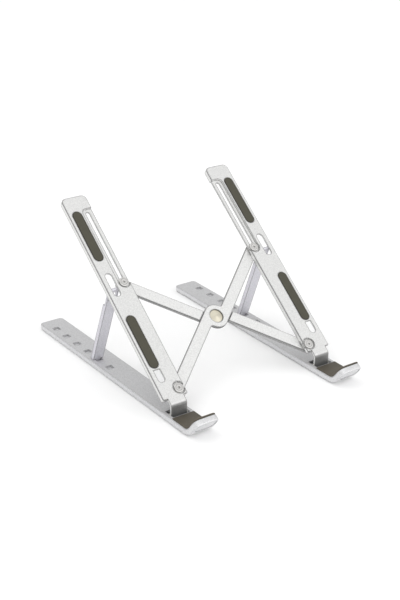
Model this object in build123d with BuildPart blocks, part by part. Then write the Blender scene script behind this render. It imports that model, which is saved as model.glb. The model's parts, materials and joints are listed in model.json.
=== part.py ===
from build123d import *

import os
from math import asin, atan2, cos, degrees, hypot, radians, sin, sqrt

# Folding aluminium laptop stand, millimetres, +X right, +Y rear, +Z up.
#
# Two base rails with hook lips stand on the table. A slotted arm rises from each rail at one tilt,
# and a prop holds it there. Two crossed links with a centre rivet join the arms like scissors, so the
# whole stand closes sideways. The right-hand pieces are modelled, and the left-hand ones are mirrored.

# ---- driving dimensions -------------------------------------------------------------------------
# base rail
rail_length = 224.65         # from the rear end to where the lip starts to bend
rail_width = 23.2
deck_z = 5.7                 # top of the rail above the table
foot_height = 0.5            # the rubber feet lift the rail's walls by this
rail_sheet = 1.5
rail_wall = 1.6
rear_corner = 3.4
edge_round = 0.7

# hook lip at the front of the rail
lip_lean = 36.0              # degrees from upright
lip_bend = 9.0               # inner radius
lip_straight = 12.05
lip_corner = 6.0
lip_recess = 0.4
lip_border = 2.0
outer_round = 1.2

# tilt hinge between the rail and the arm
hinge_to_rear = 200.8
hinge_z = 3.1
hinge_pin_radius = 1.3
knuckle_radius = 2.6
tongue_width = 15.4
tongue_sheet = 2.0
tongue_bend = 4.4            # outer radius
hinge_window_front = 6.5     # ahead of the hinge axis
hinge_window_rear = 5.2      # behind it
hinge_washer = 0.7

# row of prop holes in the rail
hole_count = 6
hole_pitch = 17.8
hole_size = 5.6
hole_depth = 1.5
hole_wall = 0.8             # round the row of holes, and under them
first_hole_to_rear = 18.6
used_hole = 4                # counted from the rear, from 0
column_from_inner = 16.5     # props, holes, windows and pads share this line

# arm
rest_tilt = 38.35            # degrees
arm_width = 24.0
arm_length = 196.7           # plate, without the tongue
arm_height = 4.25
arm_sheet = 1.5
arm_wall = 1.6
arm_corner = 4.6
arm_plane_height = 10.2      # top face above the hinge axis, square to the arm
hinge_to_pivot = 17.7        # along the arm, to the lower rivet
plate_below_pivot = 6.7
shelf_depth = 1.8
shelf_sheet = 1.3
step_wall = 1.0
pocket_radius = 5.5
shelf_width = 10.3           # from the arm's inner edge
shelf_corner = 4.0
shelf_top_margin = 2.9       # from the end of the slot to the end of the shelf
slot_width = 3.4

# windows and pads in the arm
upper_window = (90.7, 112.7)
lower_window = (8.5, 19.9)
window_width = 6.2
arm_pad_length = 50.2
arm_pad_width = 9.1
arm_pad_thickness = 0.9
arm_pad_sunk = 0.5
arm_pad_centres = (46.4, 150.4)

# scissor links
link_pitch = 172.0           # lower rivet to slider rivet
open_run = 102.0             # the same two rivets apart along the arm, when open
rivet_from_edge = 5.28       # from the arm's inner edge
closed_half_gap = 0.4        # half the gap between the closed arms
link_thickness = 3.3
link_edge = 0.6
link_corner = 2.0            # inside corners between the boss and the straight halves
link_side_gap = 0.38         # from the strip's edge to the middle line, when closed
lap_gap = 0.3
lap_clearance = 0.65           # from a shoulder to the other link; closed, its rounded corners lie in it
link_below_arm = 0.1

# rivets
head_radius = 4.2
head_height = 1.8
pivot_shank_radius = 1.6
slider_shank_radius = 1.1
tail_radius = 2.5
tail_height = 0.8
spacer_radius = 3.6
socket_radius = 1.25
socket_depth = 0.9
groove_radius = 2.95
groove_width = 0.35
groove_depth = 0.2
centre_head_radius = 6.2
centre_head_sunk = 0.95      # depth of its seat in the link
centre_head_below = 0.45     # from the link's top down to the head's rim
centre_cone = 0.25           # the face rises by this to its middle
centre_shank_radius = 2.4
centre_tail_radius = 4.2
centre_tail_height = 0.55
centre_washer_radius = 8.0

# prop
prop_pin_along = 98.5        # from the lower rivet
prop_pin_depth = 3.0         # below the arm's top face
prop_pin_radius = 0.95
prop_barrel_radius = 1.4
prop_lug = 1.2
prop_width = 9.8
prop_sheet = 1.3
prop_depth = 4.2
prop_web_start = 10.0        # from the prop's pin
prop_neck = 16.0             # from the pin to where the side walls reach full depth
prop_tab_width = 4.6
prop_tab_depth = 1.2
prop_tab_lean = 0.6          # how far the tab runs back inside the hole

# liners and feet
liner_width = 21.4
liner_thickness = 0.8
liner_start = 8.1            # ahead of the hinge axis
liner_proud = 0.15           # above the end of the lip
foot_inset = 0.2

# fits
pin_fit = 0.05
running_gap = 0.05
side_gap = 0.15


# ---- worked out ---------------------------------------------------------------------------------
def polar(length, angle):
    """A step of that length at an angle in degrees."""
    return (length * cos(radians(angle)), length * sin(radians(angle)))


def plus(point, step, scale=1.0):
    """A point moved by a step."""
    return (point[0] + step[0] * scale, point[1] + step[1] * scale)


rim = deck_z - foot_height
turn = 90 - lip_lean
lip_direction = (-cos(radians(turn)), sin(radians(turn)))
lip_outward = (-sin(radians(turn)), -cos(radians(turn)))
lip_reach = (lip_bend + rim) * sin(radians(turn)) + lip_straight * cos(radians(turn))
rear_y = (rail_length + lip_reach) / 2
bend_y = rear_y - rail_length
hinge_y = rear_y - hinge_to_rear

open_half_span = sqrt(link_pitch**2 - open_run**2) / 2
inner_x = open_half_span - rivet_from_edge
centre_x = inner_x + arm_width / 2
rail_inner_x = centre_x - rail_width / 2
rail_outer_x = centre_x + rail_width / 2
column_x = inner_x + column_from_inner
closed_half_span = closed_half_gap + rivet_from_edge
closed_run = sqrt(link_pitch**2 - (2 * closed_half_span)**2)

tilt_cos, tilt_sin = cos(radians(rest_tilt)), sin(radians(rest_tilt))
pivot_y = hinge_y + hinge_to_pivot * tilt_cos - arm_plane_height * tilt_sin
pivot_z = hinge_z + hinge_to_pivot * tilt_sin + arm_plane_height * tilt_cos
arm_plane = Plane(origin=(inner_x, pivot_y, pivot_z), x_dir=(1, 0, 0), z_dir=(0, -tilt_sin, tilt_cos))
link_plane = Plane(origin=(0, pivot_y, pivot_z), x_dir=(1, 0, 0), z_dir=(0, -tilt_sin, tilt_cos))
arm_top = arm_length - plate_below_pivot
slot_start = open_run
slot_end = closed_run
shelf_end = slot_end + slot_width / 2 + shelf_top_margin

link_top = -(arm_height + link_below_arm)
link_bottom = link_top - link_thickness
lap_half = (link_thickness - lap_gap) / 2
strip_half = closed_half_span - link_side_gap
boss_radius = closed_half_span + strip_half
link_lean = degrees(atan2(open_half_span, open_run / 2) - atan2(closed_half_span, closed_run / 2))
link_ends = [(-closed_half_span, -closed_run / 2), (closed_half_span, closed_run / 2)]

hole_ys = [rear_y - first_hole_to_rear - hole_pitch * index for index in range(hole_count)]
prop_pin_y = pivot_y + prop_pin_along * tilt_cos + prop_pin_depth * tilt_sin
prop_pin_z = pivot_z + prop_pin_along * tilt_sin - prop_pin_depth * tilt_cos
tab_y = hole_ys[used_hole] + hole_size / 2 - side_gap - prop_tab_lean - prop_sheet / 2
tab_run = (tab_y - prop_pin_y, deck_z - prop_pin_z)
tab_length = sqrt(tab_run[0]**2 + tab_run[1]**2 - (prop_sheet / 2)**2)
prop_angle = degrees(atan2(tab_run[1], tab_run[0]) + asin(prop_sheet / 2 / hypot(*tab_run)))
prop_direction = polar(1.0, prop_angle)
prop_plane = Plane(
    origin=(column_x, prop_pin_y, prop_pin_z),
    x_dir=(1, 0, 0),
    z_dir=(0, -prop_direction[1], prop_direction[0]),
)

os.makedirs("parts", exist_ok=True)


def save(piece, name):
    """Label a finished piece and write it."""
    piece.part.label = name
    export_step(piece.part, f"parts/{name}.step")


def save_pair(piece, name):
    """Write a right-hand piece, and its mirror image as the left-hand one."""
    save(piece, f"{name}_right")
    with BuildPart() as mirrored:
        mirror(piece.part, about=Plane.YZ)
    save(mirrored, f"{name}_left")


def lip_section(offset, depth, extra):
    """Profile of the deck and lip, from `offset` off the top face to `depth` below that, in YZ."""
    radius_in, radius_out = lip_bend + offset, lip_bend + offset + depth
    centre = (bend_y, deck_z + lip_bend)
    top = -lip_bend
    inner_end = plus(centre, lip_outward, radius_in)
    outer_end = plus(centre, lip_outward, radius_out)
    half_way = (-sin(radians(turn / 2)), -cos(radians(turn / 2)))
    length = lip_straight + extra
    start = (bend_y, centre[1] + top - offset)
    return {
        "start": start,
        "inner_mid": plus(centre, half_way, radius_in),
        "inner_end": inner_end,
        "inner_tip": plus(inner_end, lip_direction, length),
        "outer_tip": plus(outer_end, lip_direction, length),
        "outer_end": outer_end,
        "outer_mid": plus(centre, half_way, radius_out),
        "bottom": (bend_y, start[1] - depth),
    }


def draw_lip(section, from_y):
    """Lines round the section, with the flat part running back to from_y."""
    Line((from_y, section["start"][1]), section["start"])
    ThreePointArc(section["start"], section["inner_mid"], section["inner_end"])
    Line(section["inner_end"], section["inner_tip"])
    Line(section["inner_tip"], section["outer_tip"])
    Line(section["outer_tip"], section["outer_end"])
    ThreePointArc(section["outer_end"], section["outer_mid"], section["bottom"])
    Line(section["bottom"], (from_y, section["bottom"][1]))
    Line((from_y, section["bottom"][1]), (from_y, section["start"][1]))


# ---- base rail with its hook lip ----------------------------------------------------------------
rail_section = lip_section(0, rim, 0)
lip_normal = Axis((0, 0, 0), (0, *lip_outward))

with BuildPart() as base:
    with BuildSketch(Plane.YZ.offset(rail_inner_x)):
        with BuildLine():
            draw_lip(rail_section, rear_y)
        make_face()
    extrude(amount=rail_width)
    fillet(base.edges().filter_by(Axis.Z).group_by(Axis.Y)[-1], radius=rear_corner)
    fillet(base.edges().filter_by(lip_normal), radius=lip_corner)
    top_face = base.faces().filter_by(Axis.Z).sort_by(Axis.Z)[-1]
    fillet(top_face.outer_wire().edges().filter_by(Axis.Y), radius=edge_round)
    bottom_face = base.faces().filter_by(Axis.Z).sort_by(Axis.Z)[0]
    fillet(bottom_face.outer_wire().edges().filter_by(Axis.Y), radius=outer_round)
    # hollow underside
    with BuildSketch(Plane.XY.offset(foot_height)):
        with Locations((centre_x, (rear_y - rail_wall + bend_y) / 2)):
            RectangleRounded(rail_width - 2 * rail_wall, rear_y - rail_wall - bend_y, rear_corner - rail_wall)
    extrude(amount=rim - rail_sheet, mode=Mode.SUBTRACT)
    # lugs that carry the hinge pin, one each side of the tongue
    lug_reach = (rail_width - 2 * rail_wall - tongue_width) / 2 - hinge_washer - 2 * running_gap
    with BuildSketch(Plane.XY.offset(foot_height)):
        for lug_x in (rail_inner_x + rail_wall + lug_reach / 2, rail_outer_x - rail_wall - lug_reach / 2):
            with Locations((lug_x, hinge_y)):
                Rectangle(lug_reach, 2 * knuckle_radius + 2)
    extrude(amount=rim - rail_sheet)
    # window for the arm's tongue
    window_length = hinge_window_front + hinge_window_rear
    window_y = hinge_y + (hinge_window_rear - hinge_window_front) / 2
    with BuildSketch(Plane.XY.offset(deck_z)):
        with Locations((centre_x, window_y)):
            RectangleRounded(tongue_width + 2 * (hinge_washer + running_gap), window_length, 0.8)
    extrude(amount=-rail_sheet, mode=Mode.SUBTRACT)
    # bar under the deck with the blind holes for the props
    with BuildSketch(Plane.XY.offset(deck_z - rail_sheet)):
        with Locations((column_x, (hole_ys[0] + hole_ys[-1]) / 2)):
            Rectangle(hole_size + 2 * hole_wall, hole_ys[0] - hole_ys[-1] + hole_size + 2 * hole_wall)
    extrude(amount=rail_sheet - hole_depth - hole_wall)
    with BuildSketch(Plane.XY.offset(deck_z)):
        with Locations(*[(column_x, hole_y) for hole_y in hole_ys]):
            RectangleRounded(hole_size, hole_size, 0.7)
    extrude(amount=-hole_depth, mode=Mode.SUBTRACT)
    # blind seats for the hinge pin
    with BuildSketch(Plane.YZ.offset(rail_inner_x + rail_wall / 2)):
        with Locations((hinge_y, hinge_z)):
            Circle(hinge_pin_radius)
    extrude(amount=rail_width - rail_wall, mode=Mode.SUBTRACT)
    # shallow panel in the front of the lip
    panel_centre = plus(rail_section["outer_end"], lip_direction, (lip_straight - lip_border) / 2)
    panel_plane = Plane(origin=(centre_x, *panel_centre), x_dir=(1, 0, 0), z_dir=(0, *lip_outward))
    with BuildSketch(panel_plane):
        RectangleRounded(rail_width - 2 * lip_border, lip_straight - lip_border, lip_corner - lip_border)
    extrude(amount=-lip_recess, mode=Mode.SUBTRACT)
save_pair(base, "base")

with BuildPart() as hook_liner:
    liner_section = lip_section(-liner_thickness, liner_thickness, liner_proud)
    with BuildSketch(Plane.YZ.offset(centre_x - liner_width / 2)):
        with BuildLine():
            draw_lip(liner_section, hinge_y - liner_start)
        make_face()
    extrude(amount=liner_width)
    fillet(hook_liner.edges().filter_by(lip_normal), radius=lip_corner - 0.8)
save_pair(hook_liner, "hook_liner")

with BuildPart() as feet:
    foot_width = rail_width - 2 * (rail_wall + foot_inset)
    strip_width = column_x - hole_size / 2 - 2 - rail_inner_x - rail_wall - foot_inset
    front_foot = (bend_y + foot_inset + 1, hinge_y - knuckle_radius - 3)
    rear_foot = (hole_ys[0] + hole_size / 2 + 1, rear_y - rail_wall - foot_inset - 1)
    strip = (hinge_y + knuckle_radius + 8, hole_ys[0])
    with BuildSketch(Plane.XY):
        for start, end in (front_foot, rear_foot):
            with Locations((centre_x, (start + end) / 2)):
                RectangleRounded(foot_width, end - start, 1.5)
        with Locations((rail_inner_x + rail_wall + foot_inset + strip_width / 2, sum(strip) / 2)):
            RectangleRounded(strip_width, strip[1] - strip[0], 1.5)
    extrude(amount=deck_z - rail_sheet)
save_pair(feet, "feet")

# ---- tilt hinge ---------------------------------------------------------------------------------
with BuildPart() as hinge_pin:
    with BuildSketch(Plane.YZ.offset(rail_inner_x + rail_wall / 2)):
        with Locations((hinge_y, hinge_z)):
            Circle(hinge_pin_radius)
    extrude(amount=rail_width - rail_wall)
save_pair(hinge_pin, "hinge_pin")

with BuildPart() as hinge_washers:
    first_washer_x = centre_x - tongue_width / 2 - running_gap - hinge_washer
    for washer_x in (first_washer_x, centre_x + tongue_width / 2 + running_gap):
        with BuildSketch(Plane.YZ.offset(washer_x)):
            with Locations((hinge_y, hinge_z)):
                Circle(knuckle_radius - 0.2)
                Circle(hinge_pin_radius + pin_fit, mode=Mode.SUBTRACT)
        extrude(amount=hinge_washer)
save_pair(hinge_washers, "hinge_washers")

# ---- arm ----------------------------------------------------------------------------------------
# The tongue leaves the plate, bends until it is upright at rest, and ends in the knuckle.
hinge_local = (-hinge_to_pivot, -arm_plane_height)          # along the arm, above its top face
down = (-tilt_sin, -tilt_cos)
front = (-tilt_cos, tilt_sin)
front_line = plus(hinge_local, front, knuckle_radius)
corner_along = front_line[0] - front_line[1] / down[1] * down[0]
bend_tangent = tongue_bend * (1 - tilt_sin) / tilt_cos
bend_start = (corner_along + bend_tangent, 0)
bend_centre = (bend_start[0], -tongue_bend)
bend_middle = polar(1.0, (90 + degrees(atan2(front[1], front[0]))) / 2)


def tongue_point(direction, depth):
    """A point on the bend, `depth` under the outer face."""
    return plus(bend_centre, direction, tongue_bend - depth)


def side_plane(x):
    """The upright plane at x whose local x runs up the arm."""
    return Plane(origin=(x, pivot_y, pivot_z), x_dir=(0, tilt_cos, tilt_sin), z_dir=(1, 0, 0))


def shelf_outline(grow):
    """The shelf beside the slot and the round pocket of the lower rivet, grown by a wall."""
    length = shelf_end - slot_start + grow
    with Locations((0, slot_start)):
        Rectangle(shelf_width + grow, length, align=(Align.MIN, Align.MIN))
    fillet(vertices().group_by(Axis.Y)[-1].sort_by(Axis.X)[-1], radius=shelf_corner + grow)
    with Locations((rivet_from_edge, slot_start), (rivet_from_edge, 0)):
        Circle(pocket_radius + grow)


with BuildPart() as arm:
    with BuildSketch(arm_plane):
        with Locations((arm_width / 2, arm_top - arm_length / 2)):
            Rectangle(arm_width, arm_length)
        fillet(vertices().group_by(Axis.Y)[-1], radius=arm_corner)
        fillet(vertices().group_by(Axis.Y)[0], radius=1.2)
    extrude(amount=-arm_height)
    arm_normal = Axis((0, 0, 0), arm_plane.z_dir)
    fillet(arm.faces().filter_by(arm_normal).sort_by(arm_normal)[-1].outer_wire().edges(), radius=edge_round)
    # channel under the plate
    with BuildSketch(arm_plane.offset(-arm_sheet)):
        with Locations((arm_width / 2, arm_top - arm_length / 2)):
            Rectangle(arm_width - 2 * arm_wall, arm_length - 2 * arm_wall)
        fillet(vertices().group_by(Axis.Y)[-1], radius=arm_corner - arm_wall)
    extrude(amount=-arm_height, mode=Mode.SUBTRACT)
    # tongue and knuckle
    with BuildSketch(side_plane(centre_x - tongue_width / 2)):
        with BuildLine():
            root = -plate_below_pivot + edge_round + 0.5
            outer_end = plus(bend_centre, front, tongue_bend)
            inner_end = plus(bend_centre, front, tongue_bend - tongue_sheet)
            Line((root, 0), bend_start)
            ThreePointArc(bend_start, plus(bend_centre, bend_middle, tongue_bend), outer_end)
            Line(outer_end, front_line)
            Line(front_line, plus(front_line, front, -tongue_sheet))
            Line(plus(front_line, front, -tongue_sheet), inner_end)
            ThreePointArc(
                inner_end,
                plus(bend_centre, bend_middle, tongue_bend - tongue_sheet),
                (bend_start[0], -tongue_sheet),
            )
            Line((bend_start[0], -tongue_sheet), (root, -tongue_sheet))
            Line((root, -tongue_sheet), (root, 0))
        make_face()
        with Locations(hinge_local):
            Circle(knuckle_radius)
    extrude(amount=tongue_width)
    with BuildSketch(side_plane(centre_x - tongue_width / 2)):
        with Locations(hinge_local):
            Circle(hinge_pin_radius + pin_fit)
    extrude(amount=tongue_width, mode=Mode.SUBTRACT)
    # sunken shelf for the slider and pocket for the lower rivet
    with BuildSketch(arm_plane.offset(-arm_sheet)):
        shelf_outline(step_wall)
        with Locations(((arm_width - arm_wall) / 2, arm_top / 2)):
            Rectangle(arm_width - arm_wall, 2 * arm_length, mode=Mode.INTERSECT)
    extrude(amount=arm_sheet - shelf_depth - shelf_sheet)
    with BuildSketch(arm_plane):
        shelf_outline(0)
        with Locations((0, slot_start)):
            Rectangle(2, shelf_end - slot_start, align=(Align.MAX, Align.MIN))
    extrude(amount=-shelf_depth, mode=Mode.SUBTRACT)
    # the inner wall stops where the links pass
    with BuildSketch(arm_plane.offset(-shelf_depth - shelf_sheet)):
        with Locations((0, slot_start - pocket_radius)):
            Rectangle(arm_wall, shelf_end - slot_start + pocket_radius, align=(Align.MIN, Align.MIN))
        with Locations((0, 0)):
            Rectangle(arm_wall, 2 * pocket_radius, align=(Align.MIN, Align.CENTER))
    extrude(amount=-arm_height, mode=Mode.SUBTRACT)
    # slot for the slider and hole for the lower rivet
    with BuildSketch(arm_plane.offset(-shelf_depth)):
        with Locations((rivet_from_edge, (slot_start + slot_end) / 2)):
            SlotCenterToCenter(slot_end - slot_start, slot_width, rotation=90)
        with Locations((rivet_from_edge, 0)):
            Circle(pivot_shank_radius)
    extrude(amount=-arm_height, mode=Mode.SUBTRACT)
    # lug for the inner end of the prop's pin, and the pin's seats
    lug_start = column_from_inner - prop_width / 2 - side_gap - prop_lug
    with BuildSketch(arm_plane.offset(-arm_sheet)):
        with Locations((lug_start, prop_pin_along)):
            Rectangle(prop_lug, 3 * prop_barrel_radius, align=(Align.MIN, Align.CENTER))
    extrude(amount=arm_sheet - arm_height)
    with BuildSketch(side_plane(inner_x + lug_start)):
        with Locations((prop_pin_along, -prop_pin_depth)):
            Circle(prop_pin_radius)
    extrude(amount=arm_width - arm_wall / 2 - lug_start, mode=Mode.SUBTRACT)
    # windows
    with BuildSketch(arm_plane):
        with Locations((column_from_inner, sum(upper_window) / 2)):
            SlotOverall(upper_window[1] - upper_window[0], window_width, rotation=90)
        with Locations((column_from_inner, sum(lower_window) / 2)):
            lower = Rectangle(window_width, lower_window[1] - lower_window[0])
        fillet(lower.vertices().group_by(Axis.Y)[0], radius=window_width * 0.45)
        fillet(lower.vertices().group_by(Axis.Y)[-1], radius=0.6)
    extrude(amount=-arm_sheet, mode=Mode.SUBTRACT)
    # seats for the pads
    with BuildSketch(arm_plane):
        with Locations(*[(column_from_inner, along) for along in arm_pad_centres]):
            SlotOverall(arm_pad_length, arm_pad_width, rotation=90)
    extrude(amount=-arm_pad_sunk, mode=Mode.SUBTRACT)
save_pair(arm, "arm")

for along, place in zip(arm_pad_centres, ("lower", "upper")):
    with BuildPart() as pad:
        with BuildSketch(arm_plane.offset(-arm_pad_sunk)):
            with Locations((column_from_inner, along)):
                SlotOverall(arm_pad_length - 2 * pin_fit, arm_pad_width - 2 * pin_fit, rotation=90)
        extrude(amount=arm_pad_thickness)
        fillet(pad.faces().filter_by(arm_normal).sort_by(arm_normal)[-1].edges(), radius=0.25)
    save_pair(pad, f"arm_pad_{place}")

# ---- scissor links ------------------------------------------------------------------------------
def link_frame(side):
    """Plane of a link at the centre rivet; side is +1 where its upper end goes right."""
    lean = radians(link_lean) * side
    across = (cos(lean), -sin(lean) * tilt_cos, -sin(lean) * tilt_sin)
    middle = link_plane.from_local_coords((0, open_run / 2, 0))
    return Plane(origin=middle, x_dir=across, z_dir=link_plane.z_dir)


def link_outline(side):
    """Two straight halves, offset to the two sides of a round boss, with round ends."""
    near = (closed_half_span - strip_half) * side
    far = boss_radius * side
    end = closed_run / 2
    meet = (boss_radius**2 - near**2) ** 0.5
    turn = boss_radius * cos(radians(45)) * side
    with BuildLine() as outline:
        Line((-far, 0), (-far, -end))
        ThreePointArc((-far, -end), (-closed_half_span * side, -end - strip_half), (-near, -end))
        Line((-near, -end), (-near, -meet))
        ThreePointArc((-near, -meet), (turn, -abs(turn)), (far, 0))
        Line((far, 0), (far, end))
        ThreePointArc((far, end), (closed_half_span * side, end + strip_half), (near, end))
        Line((near, end), (near, meet))
        ThreePointArc((near, meet), (-turn, abs(turn)), (-far, 0))
    make_face(outline.edges())
    corners = [corner for corner in vertices() if abs(abs(corner.Y) - meet) < 0.01]
    fillet(corners, radius=link_corner)


def round_hole(plane, centre, radius, start, depth):
    """Cut a round hole that runs down from `start` in the plane's own height."""
    with BuildSketch(plane.offset(start)) as hole:
        with Locations(centre):
            Circle(radius)
    extrude(hole.sketch, amount=-depth, mode=Mode.SUBTRACT)


for side, name in ((1, "link_a"), (-1, "link_b")):
    frame = link_frame(side)
    low_end, high_end = [(side * u, w) for u, w in link_ends]
    with BuildPart() as link:
        with BuildSketch(frame.offset(link_bottom)):
            link_outline(side)
        extrude(amount=link_thickness)
        rims = link.faces().filter_by(arm_normal).sort_by(arm_normal)
        fillet(rims[-1].outer_wire().edges() + rims[0].outer_wire().edges(), radius=link_edge)
        # half lap where the other link crosses; its shoulders lie along that link's edges
        lap_start = link_top - lap_half if side > 0 else link_top
        with BuildSketch(frame.offset(lap_start)):
            Rectangle(2 * (boss_radius + lap_clearance), 4 * boss_radius, rotation=2 * link_lean * side)
        extrude(amount=-(link_thickness - lap_half), mode=Mode.SUBTRACT)
        # centre rivet
        if side > 0:
            round_hole(frame, (0, 0), centre_shank_radius, link_top, link_thickness)
            round_hole(frame, (0, 0), centre_head_radius + pin_fit, link_top, centre_head_sunk)
        else:
            tail_room = centre_tail_height + running_gap
            round_hole(frame, (0, 0), centre_shank_radius + pin_fit, link_top, link_thickness)
            round_hole(frame, (0, 0), centre_tail_radius + side_gap, link_bottom + tail_room, tail_room)
        # lower rivet turns in the link, the slider's rivet is fast in it
        tail_room = tail_height + 2 * running_gap
        round_hole(frame, low_end, pivot_shank_radius + pin_fit, link_top, link_thickness)
        round_hole(frame, low_end, tail_radius + side_gap, link_bottom + tail_room, tail_room)
        round_hole(frame, high_end, slider_shank_radius, link_top, link_thickness)
        round_hole(frame, high_end, tail_radius, link_bottom + tail_height, tail_height)
    save(link, name)


# ---- rivets, spacers and bushes -----------------------------------------------------------------
def disc(plane, centre, radius, start, end, bore=0.0):
    """A round disc or tube between two heights of a plane."""
    with BuildSketch(plane.offset(start)) as ring:
        with Locations(centre):
            Circle(radius)
            if bore:
                Circle(bore, mode=Mode.SUBTRACT)
    extrude(ring.sketch, amount=end - start)


def rivet_head(plane, centre, start):
    """A flat head with a rounded rim, a ring groove and a hexagon socket."""
    top = start + head_height
    disc(plane, centre, head_radius, start, top)
    fillet(faces().filter_by(arm_normal).sort_by(arm_normal)[-1].edges(), radius=0.5)
    with BuildSketch(plane.offset(top)) as groove:
        with Locations(centre):
            Circle(groove_radius)
            Circle(groove_radius - groove_width, mode=Mode.SUBTRACT)
    extrude(groove.sketch, amount=-groove_depth, mode=Mode.SUBTRACT)
    with BuildSketch(plane.offset(top)) as socket:
        with Locations(centre):
            RegularPolygon(socket_radius, 6)
    extrude(socket.sketch, amount=-socket_depth, mode=Mode.SUBTRACT)


pivot_at = (rivet_from_edge, 0)
slider_at = (rivet_from_edge, open_run)

with BuildPart() as pivot_rivet:
    rivet_head(arm_plane, pivot_at, -shelf_depth)
    disc(arm_plane, pivot_at, pivot_shank_radius, link_bottom + running_gap, -shelf_depth)
    disc(arm_plane, pivot_at, tail_radius, link_bottom + running_gap, link_bottom + running_gap + tail_height)
save_pair(pivot_rivet, "pivot_rivet")

with BuildPart() as pivot_spacer:
    spacer_top = -shelf_depth - shelf_sheet
    disc(arm_plane, pivot_at, spacer_radius, link_top + running_gap, spacer_top, bore=pivot_shank_radius)
save_pair(pivot_spacer, "pivot_spacer")

with BuildPart() as slider_rivet:
    rivet_head(arm_plane, slider_at, running_gap - shelf_depth)
    disc(arm_plane, slider_at, slider_shank_radius, link_bottom, running_gap - shelf_depth)
    disc(arm_plane, slider_at, tail_radius, link_bottom, link_bottom + tail_height)
save_pair(slider_rivet, "slider_rivet")

with BuildPart() as slider_bush:
    bush_collar = -shelf_depth - shelf_sheet - running_gap
    bush_radius = slot_width / 2 - 2 * pin_fit
    disc(arm_plane, slider_at, bush_radius, bush_collar, running_gap - shelf_depth, bore=slider_shank_radius)
    disc(arm_plane, slider_at, spacer_radius, link_top, bush_collar, bore=slider_shank_radius)
save_pair(slider_bush, "slider_bush")

with BuildPart() as centre_rivet:
    frame = link_frame(1)
    disc(frame, (0, 0), centre_head_radius, link_top - centre_head_sunk, link_top - centre_head_below)
    with BuildSketch(frame.offset(link_top - centre_head_below)):
        Circle(centre_head_radius - 0.5)
    extrude(amount=centre_cone, taper=86)
    disc(frame, (0, 0), centre_shank_radius, link_bottom + centre_tail_height, link_top - centre_head_sunk)
    disc(frame, (0, 0), centre_tail_radius, link_bottom, link_bottom + centre_tail_height)
save(centre_rivet, "centre_rivet")

with BuildPart() as centre_washer:
    lap_middle = (link_top + link_bottom) / 2
    washer_half = lap_gap / 2 - running_gap
    washer_ends = (lap_middle - washer_half, lap_middle + lap_gap / 2)
    disc(link_frame(1), (0, 0), centre_washer_radius, *washer_ends, bore=centre_shank_radius + pin_fit)
save(centre_washer, "centre_washer")

# ---- props --------------------------------------------------------------------------------------
prop_side = Plane(
    origin=(column_x - prop_width / 2, prop_pin_y, prop_pin_z),
    x_dir=(0, *prop_direction),
    z_dir=(1, 0, 0),
)

with BuildPart() as prop:
    wall_depth = prop_depth - prop_sheet
    with BuildSketch(prop_side):
        with BuildLine():
            Polyline(
                (0, -prop_barrel_radius),
                (2, -prop_sheet),
                (tab_length + 4, -prop_sheet),
                (tab_length + 4, wall_depth),
                (prop_neck + 1, wall_depth),
                (prop_neck, 0.6),
                (4, 0.9),
                (0, prop_barrel_radius),
                close=True,
            )
        make_face()
        Circle(prop_barrel_radius)
    extrude(amount=prop_width)
    # open the channel between the side walls, leaving the barrel
    with BuildSketch(prop_side.offset(prop_sheet)):
        with Locations(((tab_length + 4 + prop_web_start) / 2, prop_depth / 2)):
            Rectangle(tab_length + 4 - prop_web_start, prop_depth)
        with Locations(((prop_web_start + prop_barrel_radius) / 2 + 0.2, 0)):
            Rectangle(prop_web_start - prop_barrel_radius - 0.4, 3 * prop_depth)
    extrude(amount=prop_width - 2 * prop_sheet, mode=Mode.SUBTRACT)
    # the foot stands flat on the rail
    split(bisect_by=Plane.XY.offset(deck_z + side_gap), keep=Keep.TOP)
    # tab in the hole
    tab_end = tab_length + prop_tab_depth
    with BuildSketch(prop_plane.offset(-prop_sheet)):
        with Locations((0, tab_length - 1.5)):
            Rectangle(prop_tab_width, 3 + 2 * prop_tab_depth)
        with Locations((0, tab_end + 10)):
            Rectangle(2 * prop_tab_width, 20, mode=Mode.SUBTRACT)
    extrude(amount=prop_sheet)
    round_hole(prop_side, (0, 0), prop_pin_radius + pin_fit, prop_width, prop_width)
save_pair(prop, "prop")

with BuildPart() as prop_pin:
    with BuildSketch(side_plane(inner_x + lug_start)):
        with Locations((prop_pin_along, -prop_pin_depth)):
            Circle(prop_pin_radius)
    extrude(amount=arm_width - arm_wall / 2 - lug_start)
save_pair(prop_pin, "prop_pin")

if __name__ == "__main__":
    print("hinge", [round(v, 3) for v in (hinge_y, hinge_z)])
    print("pivot", [round(v, 3) for v in (pivot_y, pivot_z)], "half span", round(open_half_span, 3))
    print("prop pin", round(prop_pin_y, 3), round(prop_pin_z, 3), "angle", round(prop_angle, 2))
    print("link lean", round(link_lean, 2), "closed run", round(closed_run, 2))
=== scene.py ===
import json
from math import cos, pi, radians, sin

import bmesh
import bpy
import numpy as np
from bpy.props import FloatProperty, FloatVectorProperty, IntProperty, PointerProperty, StringProperty
from mathutils import Matrix, Vector


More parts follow.
